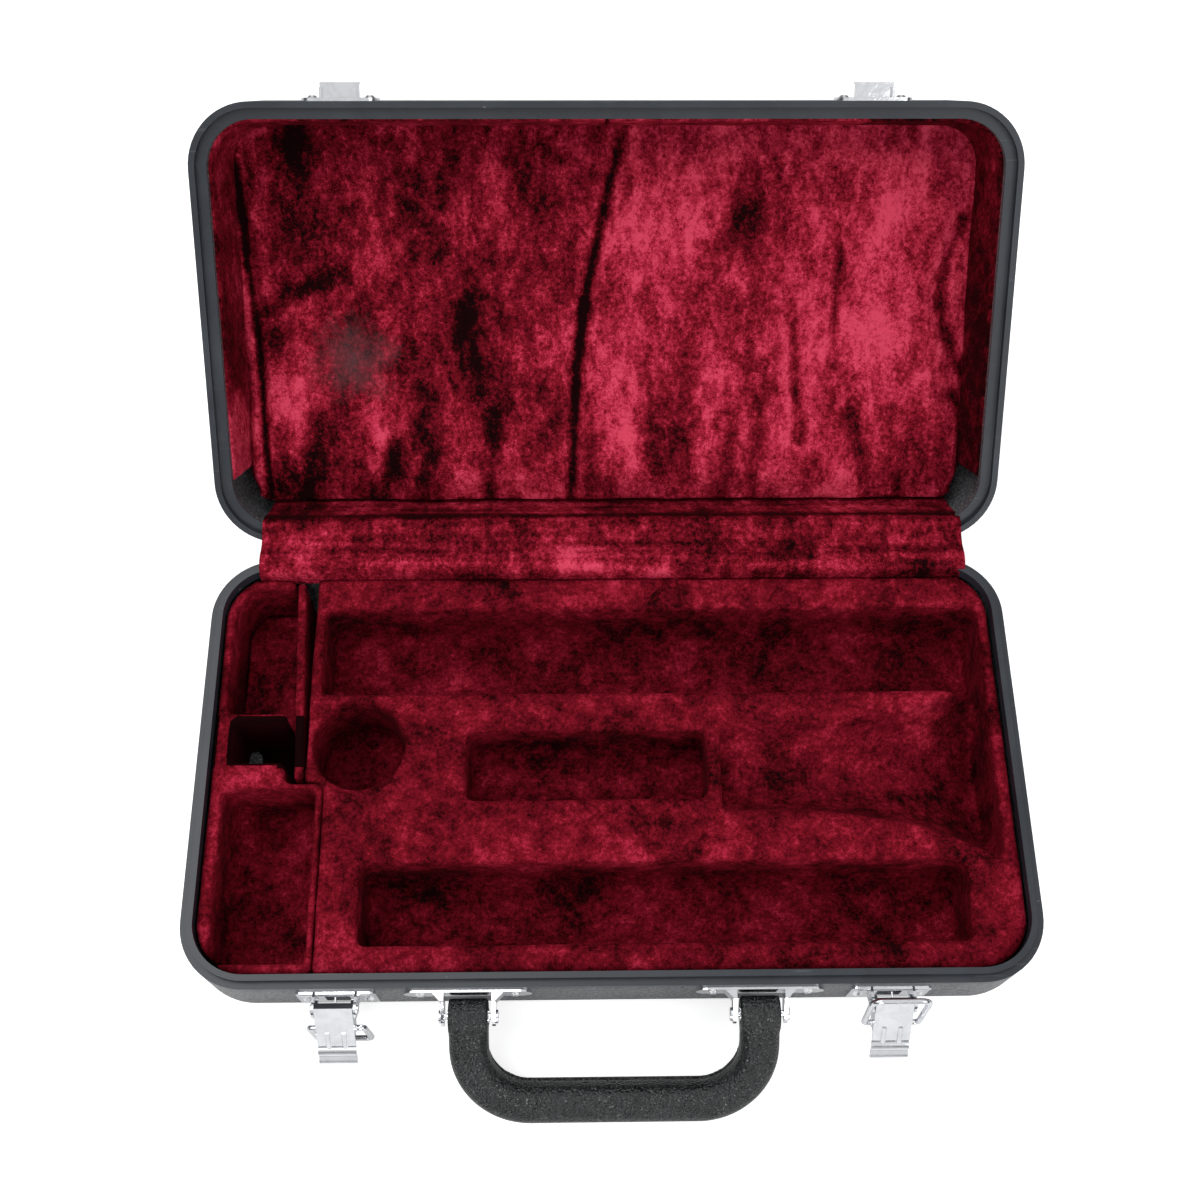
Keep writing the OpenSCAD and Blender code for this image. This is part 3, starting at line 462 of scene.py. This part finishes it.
# Leather of the handle: pebbled and almost black, with worn patches that are a little lighter

leather = {"cells": 1050, "markSize": 60, "crown": (0.008, 0.0102, 0.0108),
           "valley": (0.002, 0.0025, 0.0028), "worn": (0.03, 0.033, 0.036)}


def leatherMaterial(name):
    m, tree, shader, place = newMaterial(name, Specular_IOR_Level=0.42)
    grain = useGroup(tree, pebbleGrain, place, Cells=leather["cells"])
    marks = useGroup(tree, wear, place, Size=leather["markSize"])
    colour = addMix(tree, grain["Valley"], leather["crown"], leather["valley"])
    colour = addMix(tree, addMath(tree, "MULTIPLY", marks["Dust"], 0.2), colour, leather["worn"])
    feed(tree, shader.inputs["Base Color"], colour)
    feed(tree, shader.inputs["Roughness"], addMath(tree, "MULTIPLY_ADD", marks["Dust"], 0.1, 0.25))
    addBump(tree, shader, grain["Height"], 0.8, 0.0006)
    return m


# Pressed board behind the plush

def boardMaterial(name):
    m, tree, shader, place = newMaterial(name, Roughness=0.85)
    fibre = addNoise(tree, place, 500, 4, 0.7)
    feed(tree, shader.inputs["Base Color"], addRamp(tree, fibre, [(0.3, (0.1, 0.06, 0.04)),
                                                                 (0.7, (0.24, 0.17, 0.12))]))
    addBump(tree, shader, fibre, 0.4, 0.0004)
    return m


rims = {"base": 0.0392, "lid": 0.0455}  # heights at which the satin rims end and the grain starts
upFromLid = (onLid.to_3x3() @ Vector((0, 0, 1))).normalized()
basePlastic = shellMaterial("basePlastic", Vector((0, 0, -1)), Vector((0, 0, rims["base"])))
lidPlastic = shellMaterial("lidPlastic", upFromLid, onLid @ Vector((0, 0, rims["lid"])))
latchChrome = metalMaterial("latchChrome", (0.74, 0.755, 0.785), 0.07)
rivetSteel = metalMaterial("rivetSteel", (0.78, 0.78, 0.8), 0.2)
gripLeather = leatherMaterial("gripLeather")
formerBoard = boardMaterial("formerBoard")
wellPlush = plushMaterial("wellPlush", 40, 0.74)
lidPlush = plushMaterial("lidPlush", 30, 1.0, (1.25, 0.7, 0.7), wornSpot)
print("materials made")


# CAD nodes: each takes the first finish whose word is in its name

nodeFinishes = [("base_shell", basePlastic), ("lid_shell", lidPlastic), ("insert", formerBoard),
                ("lid_board", formerBoard), ("rivets", rivetSteel), ("hinge", rivetSteel),
                ("handle_core", rivetSteel), ("spring", rivetSteel), ("latch_", latchChrome),
                ("lever_", latchChrome), ("loop_", latchChrome), ("keeper_", latchChrome),
                ("handle_bracket", latchChrome), ("handle_pin", latchChrome), ("handle_", gripLeather),
                ("", wellPlush)]


def dressNodes():
    for name, o in nodes.items():
        o.data.materials.clear()
        o.data.materials.append(next(finish for word, finish in nodeFinishes if word in name))


dressNodes()


# Plush in the base: the linings of the wells, the padding of the corner and the board beside it,
# rounded over every edge and slightly rumpled

baseLinings = {"wellLining": {"nodes": ("main_insert", "main_lining"), "voxel": 0.0014, "rounds": 7,
                              "rumple": 0.0006, "fill": 0.9},
               "sideLining": {"nodes": ("side_insert", "side_lining"), "voxel": 0.0014, "rounds": 7,
                              "rumple": 0.0006, "fill": 0.9},
               "cornerPadding": {"nodes": ("corner_pad",), "voxel": 0.0012, "rounds": 5,
                                 "rumple": 0.0008, "fill": 0.7},
               "partitionBoard": {"nodes": ("partition",), "voxel": 0.0009, "rounds": 3,
                                  "rumple": 0.0003, "fill": 0.9}}
# Nap of the wells, heights in mm, with painted shade that darkens the walls from wallTop down over
# wallReach and painted light on the top
wellNapAndShade = {"level": -0.17, "wallShade": 0.14, "wallTop": 36, "wallReach": 12, "topLight": 0.05,
           "topReach": 4, "drift": 0.12, "holeShade": -1.5}
squareHole = {"right": -118, "front": -1, "back": 19.5, "top": 40}  # in the side lining, in mm


# Painted shade on the walls of the wells, painted light on their top, and painted shade that makes the
# square hole dark
def wellNapAndShadeAt(co, n):
    x, y, z = inMm(co)
    inHole = x < squareHole["right"] and squareHole["front"] < y < squareHole["back"]
    if inHole and z < squareHole["top"]:
        return wellNapAndShade["holeShade"]
    steep = 1 - abs(n.z)
    shade = wellNapAndShade["wallShade"] * steep * soften((wellNapAndShade["wallTop"] - z) / wellNapAndShade["wallReach"])
    light = wellNapAndShade["topLight"] * soften((z - wellNapAndShade["wallTop"]) / wellNapAndShade["topReach"])
    return wellNapAndShade["level"] - shade + wellNapAndShade["drift"] * ripple(x * 0.035, y * 0.05, 2) + light


def buildBaseLinings():
    for name, lining in baseLinings.items():
        o = softCopy(name, lining["nodes"], lining["voxel"], lining["rounds"])
        rumple(o, lining["rumple"])
        storeNapAndShade(o, wellNapAndShadeAt)
        o.data.materials.append(wellPlush)
        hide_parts(*lining["nodes"])
        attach(o, "base")


buildBaseLinings()
print("base linings made")


# Padded panel in the lid, worked out in the shut position and then laid open, in metres

lidPanel = {"columns": 220, "rows": 118, "thickness": 0.0035, "corner": 0.013, "tuck": 0.0028,
            "face": 0.003, "swell": 0.002, "swellReach": 0.02,  # padding at the edges and in the middle
            "rise": 0.0105, "riseFrom": -0.01,  # more of it towards the hinge
            "edge": 0.004, "hingeEdge": 0.0015, "hingeBand": 0.004,  # how steeply its edges fall
            "wave": 0.0012, "fineWave": 0.0004, "fold": 0.0022, "foldFrom": 0.02, "foldReach": 0.05,
            "creaseReach": 0.008, "least": 0.0008}
# Each crease: from and to (x, y as if shut, in mm), half width in mm, depth in mm, how much painted shade
# it gets
lidCreases = [((8.6, -80), (2.3, -57.8), 2.0, 1.3, 0.5), ((2.3, -57.8), (-8.8, -7.9), 1.7, 1.8, 0.75),
    ((-8.8, -7.9), (-12.2, 21), 2.2, 2.0, 0.85), ((-12.2, 21), (-15.5, 80), 1.6, 1.8, 0.65),
    ((77.7, -6), (81.8, 50), 2.0, 1.2, 0.4), ((97.1, -29), (94.9, 12), 1.5, 1.0, 0.35),
    ((147, -40), (139.3, -16), 2.4, 0.9, 0.45), ((139.3, -16), (140, -3), 2.8, 1.2, 0.6),
    ((140, -3), (144.1, 10.3), 2.8, 1.2, 0.6), ((144.1, 10.3), (151, 25), 2.4, 0.9, 0.45),
    ((146, 31), (156, 56), 2.8, 1.2, 0.45),
    ((-152, -82), (-149.5, -62), 1.5, 0.8, 0.5), ((-149.5, -62), (-147.8, -22), 1.4, 1.4, 0.7),
    ((-147.8, -22), (-144.9, 11), 1.2, 1.6, 0.7), ((-144.9, 11), (-142.6, 78), 1.2, 1.8, 0.8),
    ((-143, -3), (-130.1, -11.1), 3.5, 1.4, 0.35), ((-130.1, -11.1), (-108, -18), 3.2, 1.2, 0.35),
    ((-98.6, 79), (-88, 52), 4.0, 2.0, 0.45), ((-50, 78), (-46, 40), 3.0, 1.4, 0.3),
    ((36, 79), (30, 46), 4.0, 1.6, 0.3), ((112, 79), (104, 40), 4.0, 1.6, 0.35),
    ((60, 79), (66, 30), 3.0, 1.2, 0.25), ((-128, 79), (-120, 40), 3.6, 1.6, 0.35)]
# Patches of turned nap, and beside the left crease patches of painted light and shade; each: middle x, y
# in mm, half size across and along, how much lighter
lidNapAndShadePatches = [(-123.5, -62, 8, 30, -0.5), (59.8, -38.8, 8.5, 10, -0.55), (-137.8, 11, 8, 9, -0.4),
    (-57.6, -2.7, 4.5, 6, -0.4), (-69, -27, 6, 6, -0.3), (-139.9, 72, 8, 9, -0.4),
    (-92, 12, 26, 26, -0.22),
    (-141, -46, 7, 34, 0.34), (-96, 56, 4.5, 20, 0.36), (-120, 62, 7, 12, -0.25), (66, 20, 9, 26, -0.22),
    (120, -52, 22, 24, 0.2), (118, 22, 16, 24, 0.08), (36, -20, 16, 34, 0.14), (-42, -58, 16, 18, 0.06),
    (92, 62, 14, 10, -0.2), (-149, 46, 4, 24, 0.4), (-145, -42, 3, 32, -0.5), (-152, -20, 3, 30, -0.1),
    (30, 30, 7, 34, -0.35), (84, -60, 12, 14, -0.15), (52, 64, 10, 14, -0.3), (130, 58, 8, 18, -0.4),
    (10, 56, 9, 18, 0.12), (-30, 20, 8, 30, 0.05)]
# Nap of the panel, with painted light on its right half and painted shade on its left: its patches have
# ragged edges, and it sags towards the hinge
lidNapAndShade = {"level": 0.03, "rightLight": 0.11, "lightFrom": -60, "lightReach": 110, "patch": 0.8,
          "ragX": 5, "ragY": 7, "sag": 0.42, "sagLeast": 0.2, "sagFrom": -10, "sagReach": 60,
          "streak": 0.16}


# The strongest crease at a place: its depth, and how much painted shade darkens the nap along it, with a
# faint painted highlight beside it
def creaseAt(x, y):
    deep, napAndShade = 0, 0
    for (ax, ay), (bx, by), width, depth, dark in lidCreases:
        t = ((x - ax) * (bx - ax) + (y - ay) * (by - ay)) / ((bx - ax) ** 2 + (by - ay) ** 2)
        t = min(1, max(0, t))
        gap = math.hypot(x - ax - (bx - ax) * t, y - ay - (by - ay) * t)
        if gap > 6 * width:
            continue
        dip = depth * bump(gap, width * 1.6) - 0.4 * depth * bump(gap - 3.2 * width, width * 1.6)
        turn = 0.2 * dark * bump(gap - 2.2 * width, width) - dark * bump(gap, width)
        deep = dip if abs(dip) > abs(deep) else deep
        napAndShade = turn if abs(turn) > abs(napAndShade) else napAndShade
    return deep, napAndShade


# Nap at a place of the panel, with the painted light and shade of the creases, of some patches and of the
# lit right half
def lidNapAndShadeAt(x, y):
    side = 2 * soften((x - lidNapAndShade["lightFrom"]) / lidNapAndShade["lightReach"]) - 1
    value = lidNapAndShade["level"] + lidNapAndShade["rightLight"] * side + creaseAt(x, y)[1]
    x += lidNapAndShade["ragX"] * ripple(x * 0.09, y * 0.06, 11)
    y += lidNapAndShade["ragY"] * ripple(x * 0.09, y * 0.06, 15)
    for px, py, rx, ry, amount in lidNapAndShadePatches:
        value += lidNapAndShade["patch"] * amount * math.exp(-((x - px) / rx) ** 2 - ((y - py) / ry) ** 2)
    nearHinge = lidNapAndShade["sagLeast"] + soften((y - lidNapAndShade["sagFrom"]) / lidNapAndShade["sagReach"])
    sag = lidNapAndShade["sag"] * ripple(x * 0.06, y * 0.017, 4) * nearHinge
    return value + sag + lidNapAndShade["streak"] * ripple(x * 0.13, y * 0.03, 9)


def buildLidPanel():
    low, high = lidBox("lid_lining")
    low -= Vector((lidPanel["tuck"], lidPanel["tuck"], 0))
    high += Vector((lidPanel["tuck"], 0, 0))
    halfX, halfY, midY = (high.x - low.x) / 2, (high.y - low.y) / 2, (low.y + high.y) / 2
    corner = lidPanel["corner"]
    deselectAll()
    bpy.ops.mesh.primitive_grid_add(x_subdivisions=lidPanel["columns"], y_subdivisions=lidPanel["rows"],
                                    size=1)
    o = bpy.context.object
    o.name = "lidPadding"
    o.scale = (2 * halfX, 2 * halfY, 1)
    o.location = ((low.x + high.x) / 2, midY, high.z)
    applyPlace(o)
    bpy.ops.object.mode_set(mode="EDIT")
    bpy.ops.mesh.select_all(action="SELECT")
    bpy.ops.mesh.extrude_region_move(TRANSFORM_OT_translate={"value": (0, 0, -lidPanel["thickness"])})
    bpy.ops.object.mode_set(mode="OBJECT")
    fixNormals(o)

    # The seen side bulges away from the lid board, less at the edges, with folds and creases in it
    def bulge(x, y, edge, fine):
        swell = lidPanel["face"] + lidPanel["swell"] * soften(edge / lidPanel["swellReach"])
        rise = lidPanel["rise"] * soften((y - lidPanel["riseFrom"]) / (high.y - lidPanel["riseFrom"]))
        atHinge = y > high.y - lidPanel["hingeBand"]
        drop = soften(edge / (lidPanel["hingeEdge"] if atHinge else lidPanel["edge"]))
        wave = lidPanel["wave"] * ripple(x * 22, y * 11, 3) + lidPanel["fineWave"] * fine
        fold = lidPanel["fold"] * ripple(x * 55, y * 9, 7)
        fold *= soften((y - lidPanel["foldFrom"]) / lidPanel["foldReach"])
        crease = creaseAt(x / mm, y / mm)[0] * mm * soften(edge / lidPanel["creaseReach"])
        return max(lidPanel["least"], swell + rise * drop + wave + fold - crease)

    def shaped(co, n):
        over = max(0, abs(co.y - midY) - halfY + corner)
        reach = halfX - corner + math.sqrt(max(0, corner ** 2 - over ** 2))
        x = co.x * reach / halfX
        edge = min(reach - abs(x), halfY - abs(co.y - midY))
        seen = co.z < high.z - lidPanel["thickness"] / 2
        depth = bulge(x, co.y, edge, noise.noise(co * 70)) if seen else 0
        return Vector((x, co.y, high.z - depth))

    moveVertices(o, shaped)
    storeNapAndShade(o, lambda co, n: lidNapAndShadeAt(co.x / mm, co.y / mm))
    o.data.transform(onLid)
    fixNormals(o)
    smoothShade(o, 60)
    o.data.materials.append(lidPlush)
    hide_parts("lid_lining")
    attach(o, "lid")


# Plush strips over the lid's walls: painted light and shade by place, in mm as if shut
lidStrips = {"voxel": 0.0009, "rounds": 4, "rumple": 0.0007, "fill": 0.7, "ends": 100,
             "leftNap": -0.1, "leftLight": 0.35, "lightFrom": 15, "lightReach": 25, "leftShade": 0.3,
             "shadeAt": 4, "shadeReach": 12, "rightShade": -0.3, "frontNap": 0.0}


# Painted light on the left strip towards the hinge and painted shade in its front half; the right strip is
# painted in shade
def stripLightAndShadeAt(co, n):
    x, y = inMm(offLid @ co)[:2]
    if x < -lidStrips["ends"]:
        light = lidStrips["leftLight"] * soften((y - lidStrips["lightFrom"]) / lidStrips["lightReach"])
        shade = lidStrips["leftShade"] * bump(y - lidStrips["shadeAt"], lidStrips["shadeReach"])
        return lidStrips["leftNap"] + light - shade
    return lidStrips["rightShade"] if x > lidStrips["ends"] else lidStrips["frontNap"]


def buildLidStrips():
    for side in ("left", "right"):
        o = softCopy("lidStrip" + side.capitalize(), ["lid_strip_" + side], lidStrips["voxel"],
                     lidStrips["rounds"])
        rumple(o, lidStrips["rumple"])
        storeNapAndShade(o, stripLightAndShadeAt)
        o.data.materials.append(lidPlush)
        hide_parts("lid_strip_" + side)
        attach(o, "lid")


buildLidPanel()
buildLidStrips()
print("lid padding made")


# Plush gusset over the hinge. Its section and the places of its nap are y and z from the hinge, in mm.

gusset = {"left": -141.8, "right": 146.1, "thickness": 0.0009, "across": 160, "along": 44,
          "section": [(-11.2, -4.2), (-11.2, 1.6), (-9.6, 5.2), (-5.4, 6.3), (0, 4.9), (5, 5),
                      (10.4, 6.7), (14.2, 4.2), (17.6, 0.4), (21.6, -4.4), (26.2, -9), (33, -15.3)],
          "broadWave": 0.8, "smallWave": 0.35, "nap": -0.1, "streak": 0.3, "crest": -8, "crestLight": 0.14,
          "valley": 15.5, "valleyShade": 0.45}


# A smooth curve through the section's points, at t from 0 to 1
def onSection(t):
    pts = gusset["section"]
    s = t * (len(pts) - 1)
    i = min(int(s), len(pts) - 2)
    u = s - i
    a, b, c, d = (Vector(pts[min(max(k, 0), len(pts) - 1)]) for k in (i - 1, i, i + 1, i + 2))
    bend = (2 * a - 5 * b + 4 * c - d) * u * u + (3 * b - a - 3 * c + d) * u ** 3
    return 0.5 * (2 * b + (c - a) * u + bend)


# Soft level streaks of nap, with a painted highlight on the crest at the base and painted shade in the
# valley at the lid
def gussetNapAndShadeAt(x, y):
    light = gusset["crestLight"] * bump(y - gusset["crest"], 2.5)
    shade = gusset["valleyShade"] * bump(y - gusset["valley"], 2.2)
    return gusset["nap"] + gusset["streak"] * ripple(x * 0.02, y * 0.35, 6) + light - shade


def buildGusset():
    deselectAll()
    bpy.ops.mesh.primitive_grid_add(x_subdivisions=gusset["across"], y_subdivisions=gusset["along"],
                                    size=1)
    o = bpy.context.object
    o.name = "hingeGusset"

    def shaped(co, n):
        x = gusset["left"] + (gusset["right"] - gusset["left"]) * (co.x + 0.5)
        t = co.y + 0.5
        y, z = onSection(t)
        free = math.sin(math.pi * t)  # its tucked ends stay where they are
        z += free * gusset["broadWave"] * ripple(x * 0.03, t * 3, 1)
        z += free * gusset["smallWave"] * ripple(x * 0.12, t * 8, 5)
        return Vector((x * mm, hinge.y + y * mm, hinge.z + z * mm))

    moveVertices(o, shaped)
    solid = o.modifiers.new("thickness", "SOLIDIFY")
    solid.thickness = gusset["thickness"]
    solid.offset = 0
    applyModifiers(o)
    fixNormals(o)
    smoothShade(o, 60)
    o.data.materials.append(lidPlush)
    storeNapAndShade(o, lambda co, n: gussetNapAndShadeAt(co.x / mm, (co.y - hinge.y) / mm))
    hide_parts("gusset")
    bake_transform(o)


buildGusset()
print("gusset made")


# Handle: leather grip and the backing strip under it, rounded over every edge

grip = {"voxel": 0.0007, "rounds": 6}


def buildGrip():
    for name, source in (("handleLeather", "handle_grip"), ("handleUnderside", "handle_backing")):
        o = softCopy(name, [source], grip["voxel"], grip["rounds"])
        o.data.materials.append(gripLeather)
        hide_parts(source)
        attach(o, "handle")


buildGrip()
print("handle made")


# Pale floor and soft light

studio = {"floorSize": 3, "floorDrop": 0.0003, "floorTone": (0.86, 0.86, 0.86, 1), "floorGlow": 0.6,
          "world": 0.85, "aim": (0, 0.05, 0.05),
          # Brightness of the surroundings by height: pale at the floor, dark above it, light overhead
          "sky": [(0.04, (0.7, 0.7, 0.7)), (0.12, (0.1, 0.1, 0.105)), (0.42, (0.16, 0.16, 0.165)),
                  (0.6, (1, 1, 1))],
          "lamps": {"key": {"place": (-0.5, 0.2, 1.3), "size": 1.0, "power": 7.5},
                    "fill": {"place": (0.9, -0.7, 0.9), "size": 0.9, "power": 3.5},
                    "gloss": {"place": (0.06, -1.2, 0.52), "size": 0.35, "power": 5.5}}}


# The floor glows for the camera alone, so that it comes out as white as a backdrop
def addFloor():
    deselectAll()
    bpy.ops.mesh.primitive_plane_add(size=studio["floorSize"], location=(0, 0, -studio["floorDrop"]))
    floor = bpy.context.object
    floor.name = "floor"
    m, tree, shader, place = newMaterial("paleFloor", Base_Color=studio["floorTone"], Roughness=0.9,
                                         Emission_Color=(1, 1, 1, 1))
    seen = tree.nodes.new("ShaderNodeLightPath").outputs["Is Camera Ray"]
    feed(tree, shader.inputs["Emission Strength"], addMath(tree, "MULTIPLY", seen, studio["floorGlow"]))
    floor.data.materials.append(m)


def addSurroundings():
    world = bpy.data.worlds.new("studio")
    world.use_nodes = True
    tree = world.node_tree
    sky = tree.nodes.new("ShaderNodeTexCoord").outputs["Generated"]
    height = addNode(tree, "ShaderNodeSeparateXYZ", {"Vector": sky}).outputs["Z"]
    back = tree.nodes["Background"]
    feed(tree, back.inputs["Color"], addRamp(tree, height, studio["sky"]))
    back.inputs["Strength"].default_value = studio["world"]
    bpy.context.scene.world = world


def addLamps():
    for name, lamp in studio["lamps"].items():
        data = bpy.data.lights.new(name, "AREA")
        data.energy = lamp["power"]
        data.size = lamp["size"]
        o = bpy.data.objects.new(name, data)
        bpy.context.scene.collection.objects.link(o)
        o.location = lamp["place"]
        ahead = Vector(studio["aim"]) - Vector(lamp["place"])
        o.rotation_euler = ahead.to_track_quat("-Z", "Y").to_euler()


addFloor()
addSurroundings()
addLamps()
bpy.context.scene.view_settings.view_transform = "Standard"
print("studio lit")
